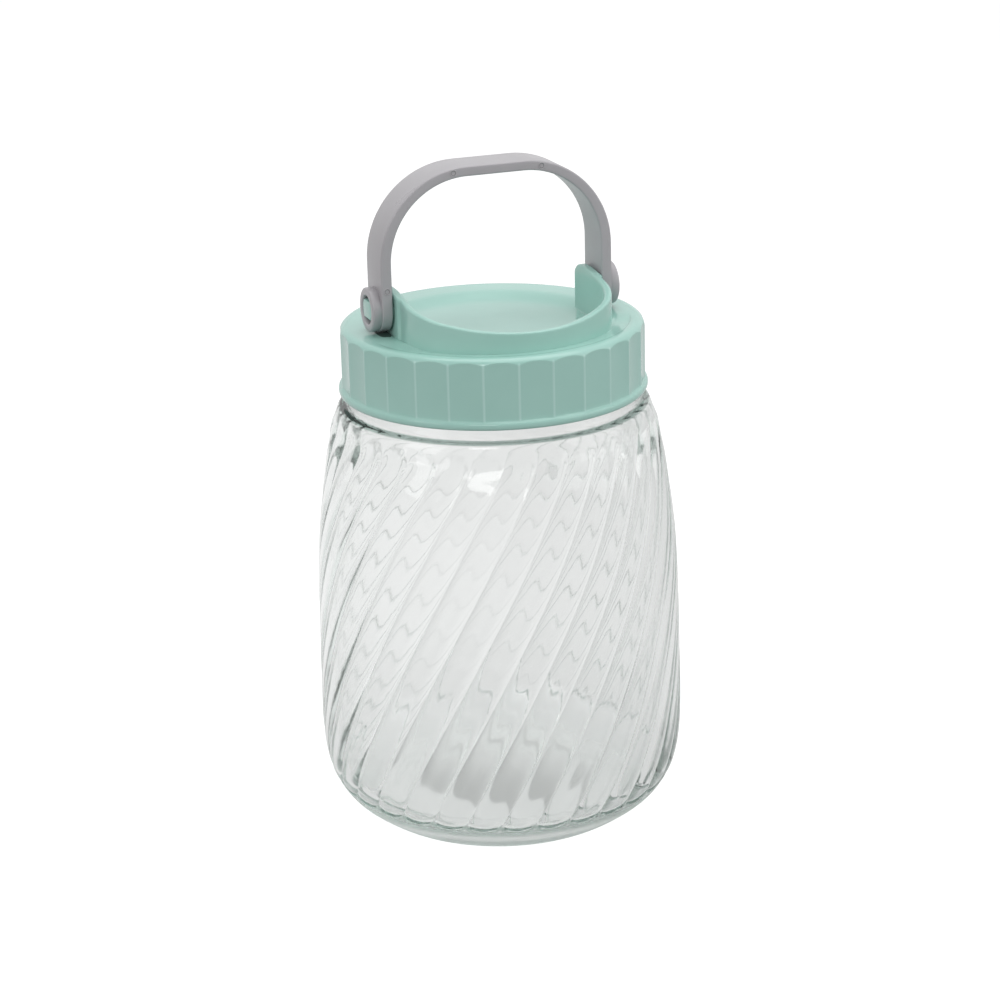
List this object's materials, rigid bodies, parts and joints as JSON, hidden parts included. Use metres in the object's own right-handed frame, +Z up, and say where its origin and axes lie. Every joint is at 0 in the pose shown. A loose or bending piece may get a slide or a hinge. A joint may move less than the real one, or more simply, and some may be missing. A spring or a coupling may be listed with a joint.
{
  "type": "glass storage jar with carry handle",
  "caption": "Wide-mouth glass jar with twisted reeds, a fluted plastic screw lid with a raised front wall and ears, and a plastic bail handle that folds on split pins.",
  "frame": {"origin": "centre of the foot ring, on the surface that the jar stands on", "axes": "+Z up along the jar's axis, +X along the handle's pivot axis, -Y towards the front, the side with the lid's raised wall"},
  "size_m": [0.1568, 0.1568, 0.283],
  "materials": {
    "clear_glass": "clear, fire-polished pressed glass",
    "mint_plastic": "satin moulded",
    "grey_plastic": "satin moulded",
    "seal_rubber": "soft, matte"
  },
  "bodies": {
    "jar": {"glass_jar": "clear_glass"},
    "seal": {"lid_seal": "seal_rubber"},
    "lid": {"screw_lid": "mint_plastic"},
    "handle": {"carry_handle": "grey_plastic"}
  },
  "joints": [
    {"name": "lid_lift", "type": "slide", "parent": "jar", "child": "seal", "axis": [0, 0, 1], "range_m": [0, 0.02605]},
    {"name": "lid_turn", "type": "hinge", "parent": "seal", "child": "lid", "pos_m": [0, 0, 0.2], "axis": [0, 0, 1], "range_deg": [0, 720]},
    {"name": "handle_swing", "type": "hinge", "parent": "lid", "child": "handle", "pos_m": [0, 0, 0.2258], "axis": [1, 0, 0], "range_deg": [-90, 90]}
  ],
  "couplings": [
    {"joint": "lid_lift", "follows": "lid_turn", "m_per_rad": 0.002069}
  ]
}
